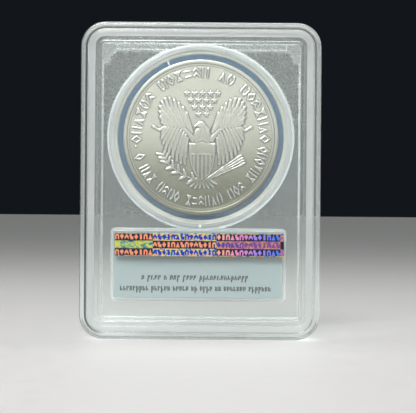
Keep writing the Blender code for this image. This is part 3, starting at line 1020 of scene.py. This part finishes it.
def bar_mesh(name, bars, y, lift, material):
    """Thin raised bars, each (centre x, centre z, width, height, slant), printed at depth y."""
    bm = bmesh.new()
    for x, z, width, height, slant in bars:
        half_w, half_h = width / 2, height / 2
        outline = [(-half_w - slant, -half_h), (half_w - slant, -half_h)]
        outline += [(half_w + slant, half_h), (-half_w + slant, half_h)]
        add_plate(bm, outline, (x, z), y, y + lift, (0.9, 0.97))
    place(new_object(name, bm, material), "label_paper")


def greeked_line(words, start_x, z, end_x, slant, rng):
    """Stand-in for a line of small print: for each letter of a word, an upright tick and a block."""
    ticks = []
    pitch = (end_x - start_x) / (sum(words) + (len(words) - 1) * WORD_SPACE)
    x = start_x
    for word in words:
        for _ in range(word):
            height, shift = (1.75 * MM, -0.28 * MM) if rng.random() < 0.25 else (1.2 * MM, 0.0)
            ticks.append((x + 0.27 * pitch, z + shift, 0.34 * MM, height, slant))
            block = rng.uniform(0.35, 1.1) * MM
            offset = rng.choice((-0.5, 0.5)) * (1.15 * MM - block)
            ticks.append((x + 0.7 * pitch, z + offset, 0.26 * MM, block, slant * 0.4))
            x += pitch
        x += WORD_SPACE * pitch
    return ticks


def make_print(material):
    rng = np.random.default_rng(7)
    back, front = CARD_MIDDLE.y - CARD_SIZE.y / 2, CARD_MIDDLE.y + CARD_SIZE.y / 2
    middle = CARD_MIDDLE.z
    lines = greeked_line((1, 4, 1, 3, 4, 14), -15.2 * MM, middle - 3.4 * MM, 12.7 * MM, 0.12 * MM, rng)
    lines += greeked_line((9, 6, 5, 2, 4, 2, 7, 7), -20.8 * MM, middle - 6.25 * MM, 18.6 * MM, 0.0, rng)
    bar_mesh("label_print_back", lines, back - PRINT_GAP, -PRINT_HEIGHT, material)
    bars = greeked_line((5, 3, 7), -19.0 * MM, middle - 5.4 * MM, 4.0 * MM, 0.0, rng)
    bars += greeked_line((6, 4, 2, 5), -19.0 * MM, middle - 2.2 * MM, 6.0 * MM, 0.0, rng)
    x = -19.0 * MM
    while x < 2.0 * MM:
        width = rng.choice((0.18, 0.3, 0.5)) * MM
        bars.append((x + width / 2, middle + 4.4 * MM, width, 4.2 * MM, 0.0))
        x += width + rng.choice((0.22, 0.4)) * MM
    bars.append((14.5 * MM, middle, 9.5 * MM, 0.5 * MM, 0.0))
    bar_mesh("label_print_front", bars, front + PRINT_GAP, PRINT_HEIGHT, material)


# ---------------------------------------------------------------- holographic strip

STRIP_LEFT = STRIP_MIDDLE.x - STRIP_SIZE.x / 2
STRIP_FACE = -(WINDOW_OUTER + 0.06 * MM)
ROW_HEIGHT = STRIP_SIZE.z / 3
BLOCK_WIDTH = 16.55 * MM
FIRST_BLOCK = 9.85 * MM  # the left block is cut short by the strip's end


def foil_material():
    """Iridescent foil in a chequer of near-black blocks and marbled, rainbow-coloured blocks."""
    n, where = new_material("holographic_foil")
    x, _, z = n.parts(where)
    column = n.math("DIVIDE", n.math("SUBTRACT", x, STRIP_LEFT + FIRST_BLOCK - BLOCK_WIDTH), BLOCK_WIDTH)
    row = n.math("DIVIDE", n.math("SUBTRACT", z, STRIP_MIDDLE.z - STRIP_SIZE.z / 2), ROW_HEIGHT)
    parity = n.math("ADD", n.math("FLOOR", column), n.math("FLOOR", row))
    marbled = n.math("PINGPONG", parity, 1.0)
    swirl = n.noise(n.stretched(where, (1, 1, 1.8)), 560.0, 2.0, 0.55, 2.6)
    rainbow = n.ramp(swirl, (
        (0.30, (0.01, 0.03, 0.50)), (0.41, (0.02, 0.12, 0.70)), (0.46, (0.20, 0.55, 0.45)),
        (0.50, (0.95, 0.80, 0.10)), (0.58, (0.98, 0.62, 0.20)), (0.64, (0.95, 0.28, 0.06)),
        (0.72, (0.05, 0.06, 0.6)),
    ))
    dusk = n.ramp(swirl, (
        (0.32, (0.10, 0.07, 0.45)), (0.46, (0.34, 0.13, 0.40)), (0.56, (0.70, 0.30, 0.12)),
        (0.66, (0.80, 0.42, 0.10)), (0.76, (0.16, 0.08, 0.4)),
    ))
    lime = n.ramp(n.noise(n.stretched(where, (1.6, 1, 3.2)), 300.0, 3.0, 0.6, 1.2), (
        (0.36, (0.03, 0.10, 0.22)), (0.46, (0.10, 0.36, 0.34)), (0.54, (0.65, 0.72, 0.10)),
        (0.62, (0.85, 0.70, 0.08)), (0.7, (0.08, 0.25, 0.30)),
    ))
    right = n.remap(x, 4.2 * MM, 4.8 * MM, 0.0, 1.0)
    left = n.remap(x, -12.4 * MM, -12.2 * MM, 1.0, 0.0)
    colours = n.mix(left, n.mix(right, rainbow, dusk), lime)
    dark = n.mix(n.noise(where, 900.0, 2.0), (0.008, 0.006, 0.02), (0.03, 0.02, 0.05))
    from_middle = n.math("ABSOLUTE", n.math("SUBTRACT", z, STRIP_MIDDLE.z))
    border = n.remap(from_middle, STRIP_SIZE.z / 2 - 0.3 * MM, STRIP_SIZE.z / 2 - 0.12 * MM, 0.0, 0.8)
    n.surface(Base_Color=n.mix(border, n.mix(marbled, dark, colours), rainbow), Metallic=0.35)
    n.surface(Roughness=n.spread(n.noise(where, 1500.0, 2.0), 0.28, 0.5))
    n.surface(Normal=n.bump(swirl, 0.00002, 0.4))
    return n.owner


def foil_glyph_material(name, stops):
    """Raised-looking foil marks whose colour turns along the strip."""
    n, where = new_material(name)
    x, _, _ = n.parts(where)
    wobble = n.remap(n.noise(where, 500.0, 2.0), 0.0, 1.0, -2.2 * MM, 2.2 * MM)
    along_strip = n.remap(n.math("ADD", x, wobble), 2.0 * MM, 20.5 * MM, 0.0, 1.0)
    n.surface(Base_Color=n.ramp(along_strip, stops), Metallic=0.25)
    n.surface(Roughness=n.remap(wobble, -0.001, 0.001, 0.3, 0.5))
    return n.owner


def strip_outline(inset):
    return rounded_outline(
        STRIP_SIZE.x - 2 * inset, STRIP_SIZE.z - 2 * inset, 0.2 * MM, (STRIP_MIDDLE.x, STRIP_MIDDLE.z), 3
    )


def sign_points(kind, size):
    """Outline of a generic foil mark around (0, 0)."""
    if kind == "drop":
        turns = [math.radians(a) for a in range(-60, 241, 25)]
        ring = [(0.62 * size * math.cos(a), 0.62 * size * math.sin(a) + 0.2 * size) for a in turns]
        return ring + [(0, -size)]
    corners = {
        "lozenge": ((0.68, 0), (0, 1), (-0.68, 0), (0, -1)),
        "wedge": ((0.68, -0.9), (0, 0.95), (-0.68, -0.9)),
        "step": ((0.66, -0.9), (0.66, 0.15), (0.1, 0.15), (0.1, 0.9), (-0.66, 0.9), (-0.66, 0.3),
                 (-0.25, -0.9)),
        "bar": ((0.36, -0.9), (0.36, 0.9), (-0.36, 0.9), (-0.36, -0.9)),
        "arch": ((0.68, -0.9), (0.68, 0.5), (0.3, 0.9), (-0.3, 0.9), (-0.68, 0.5), (-0.68, -0.9),
                 (-0.24, -0.9), (-0.24, 0.3), (0.24, 0.3), (0.24, -0.9)),
        "roof": ((0.68, -0.9), (0.68, 0.1), (0, 0.95), (-0.68, 0.1), (-0.68, -0.9), (0, -0.1)),
    }[kind]
    return [(a * size, b * size) for a, b in corners]


def strip_marks(name, on_dark, material):
    """A row of marks on every near-black block, or on every marbled block right of the first."""
    bm = bmesh.new()
    kinds = ("arch", "drop", "roof", "step", "lozenge", "bar", "arch", "wedge", "step")
    pitch, size = 1.16 * MM, 0.78 * MM
    low, high = STRIP_FACE - 0.001 * MM, STRIP_FACE - 0.015 * MM
    for row in range(3):
        z = STRIP_MIDDLE.z + (row - 1) * ROW_HEIGHT
        for column in range(0 if on_dark else 1, 4):
            if ((row + column) % 2 == 0) != on_dark:
                continue
            left = max(STRIP_LEFT + FIRST_BLOCK + (column - 1) * BLOCK_WIDTH, STRIP_LEFT)
            right = min(STRIP_LEFT + FIRST_BLOCK + column * BLOCK_WIDTH, STRIP_LEFT + STRIP_SIZE.x)
            count = int((right - left - 0.1 * MM) / pitch)
            for k in range(count):
                centre = (left + (right - left) * (k + 0.5) / count, z)
                outline = sign_points(kinds[(k + column * 2) % len(kinds)], size)
                add_plate(bm, outline, centre, low, high, (0.9, 0.9))
    place(new_object(name, bm, material), "hologram_foil")


def make_strip(foil, bright_marks, deep_marks):
    back = -WINDOW_OUTER - 0.004 * MM
    edge = 0.02 * MM
    sections = [(strip_outline(0), back), (strip_outline(0), STRIP_FACE + edge)]
    sections += [(strip_outline(edge), STRIP_FACE)]
    strip = loft("hologram_foil", sections, foil)
    shade(strip)
    place(strip, "hologram_foil", "hologram_strip")
    strip_marks("hologram_marks", True, bright_marks)
    strip_marks("hologram_ghost_marks", False, deep_marks)


# ---------------------------------------------------------------- floor, light and camera

FLOOR_HALF = 4.0
WORLD_DARK = ((0.75, 0.95, 1.3), 0.0085)  # colour and strength
WORLD_GLOWS = (  # direction, cosines where the glow starts and is full, and strength
    ((0.0, -1.0, 0.1), 0.93, 0.985, 1.03),
    ((0.0, -0.7, 1.0), 0.72, 0.98, 0.65),
    ((1.0, -0.45, 0.3), 0.8, 0.98, 0.95),
    ((1.0, 0.25, 0.25), 0.8, 0.98, 1.2),
)


def make_floor():
    n, where = new_material("pale_floor")
    n.surface(Base_Color=n.mix(n.noise(where, 14.0, 3.0), (0.76, 0.74, 0.73), (0.80, 0.78, 0.77)))
    n.surface(Roughness=n.spread(n.noise(where, 220.0, 2.0), 0.5, 0.65))
    bm = bmesh.new()
    corners = ((-FLOOR_HALF, -FLOOR_HALF), (FLOOR_HALF, -FLOOR_HALF), (FLOOR_HALF, FLOOR_HALF),
               (-FLOOR_HALF, FLOOR_HALF))
    bm.faces.new([bm.verts.new((x, y, 0)) for x, y in corners])
    floor = new_object("floor", bm, n.owner)
    floor.location.z = -0.02 * MM


def make_world():
    """Dark behind the slab, with broad soft glows in front of it, above it and at its right."""
    world = bpy.data.worlds.new("studio")
    bpy.context.scene.world = world
    n = Nodes(world)
    direction = n.add("ShaderNodeTexCoord").outputs["Generated"]
    total = 0.0
    for aim, start, end, strength in WORLD_GLOWS:
        inputs = {0: direction, 1: Vector(aim).normalized()}
        towards = n.add("ShaderNodeVectorMath", inputs, operation="DOT_PRODUCT").outputs["Value"]
        total = n.math("ADD", total, n.remap(towards, start, end, 0.0, strength, smooth=True))
    glow = n.tree.nodes["Background"]
    n.set(glow, "Strength", total)
    n.set(glow, "Color", (0.95, 1.0, 0.975, 1.0))
    colour, strength = WORLD_DARK
    dark = n.add("ShaderNodeBackground", {"Color": (*colour, 1.0), "Strength": strength})
    both = n.add("ShaderNodeAddShader", {0: glow.outputs[0], 1: dark.outputs[0]})
    n.set(n.tree.nodes["World Output"], "Surface", both.outputs[0])


def add_light(name, location, aim, width, height, power):
    light = bpy.data.lights.new(name, "AREA")
    light.shape = "RECTANGLE"
    light.size, light.size_y = width, height
    light.energy = power
    obj = bpy.data.objects.new(name, light)
    bpy.context.collection.objects.link(obj)
    obj.location = location
    obj.rotation_euler = (Vector(aim) - Vector(location)).to_track_quat("-Z", "Y").to_euler()
    obj.visible_camera = False


def make_camera():
    """Camera in front of the back face, aimed a little right of and below its middle."""
    data = bpy.data.cameras.new("camera")
    data.sensor_width = 36.0
    data.lens = 99.5
    data.clip_start, data.clip_end = 0.01, 20.0
    camera = bpy.data.objects.new("camera", data)
    bpy.context.collection.objects.link(camera)
    camera.location = (2.03 * MM, -301.4 * MM, 34.67 * MM)
    camera.rotation_euler = (math.radians(90), math.radians(-0.45), 0)
    bpy.context.scene.camera = camera


# ---------------------------------------------------------------- assembly

def main():
    make_camera()
    plastics = (  # in the order of the slots
        clear_plastic("clear_polystyrene", 0.008, 0.965, 0.012, speckled=True),
        clear_plastic("border_polystyrene", 0.008, 0.95, 0.005),
        weld_plastic(),
        clear_plastic("rib_polystyrene", 0.12, 0.5, 0.006),
        fused_plastic(),
        clear_plastic("scuffed_polystyrene", 0.02, 0.91, 0.005),
        clear_plastic("block_polystyrene", 0.05, 0.88, 0.01),
    )
    make_shell("rear_shell_visual", -1, plastics)
    make_shell("front_shell_visual", 1, plastics)
    make_gasket(
        gasket_material("gasket_body", (0.66, 0.66, 0.65), (0.95, 0.95, 0.94), 0.62),
        gasket_material("gasket_web", (0.018, 0.1, 0.21), (0.03, 0.135, 0.265), 0.3),
        gasket_material("gasket_lip", (0.62, 0.58, 0.46), (0.82, 0.78, 0.66), 0.5),
        gasket_material("gasket_flash", (0.86, 0.86, 0.84), (0.95, 0.95, 0.94), 0.1),
    )
    make_coin(silver_material())
    make_card(paper_material())
    make_print(ink_material())
    bright = (
        (0.0, (0.95, 0.34, 0.20)), (0.18, (0.95, 0.45, 0.38)), (0.45, (0.85, 0.28, 0.58)),
        (0.7, (0.40, 0.27, 0.88)), (1.0, (0.06, 0.22, 0.95)),
    )
    deep = (
        (0.0, (0.01, 0.035, 0.50)), (0.1, (0.02, 0.03, 0.46)), (0.3, (0.13, 0.05, 0.34)),
        (1.0, (0.28, 0.07, 0.30)),
    )
    make_strip(
        foil_material(),
        foil_glyph_material("holographic_marks", bright),
        foil_glyph_material("holographic_deep_marks", deep),
    )
    make_floor()
    make_world()
    add_light("key", (-0.12, -0.35, 0.42), (0, 0, 0.05), 0.2, 0.2, 1.5)
    add_light("top", (0.0, 0.05, 0.45), (0, 0, 0.05), 0.4, 0.15, 0.85)
    scene = bpy.context.scene
    scene.view_settings.view_transform = "Standard"
    scene.cycles.max_bounces = 24
    scene.cycles.transmission_bounces = 24
    scene.cycles.transparent_max_bounces = 24


main()
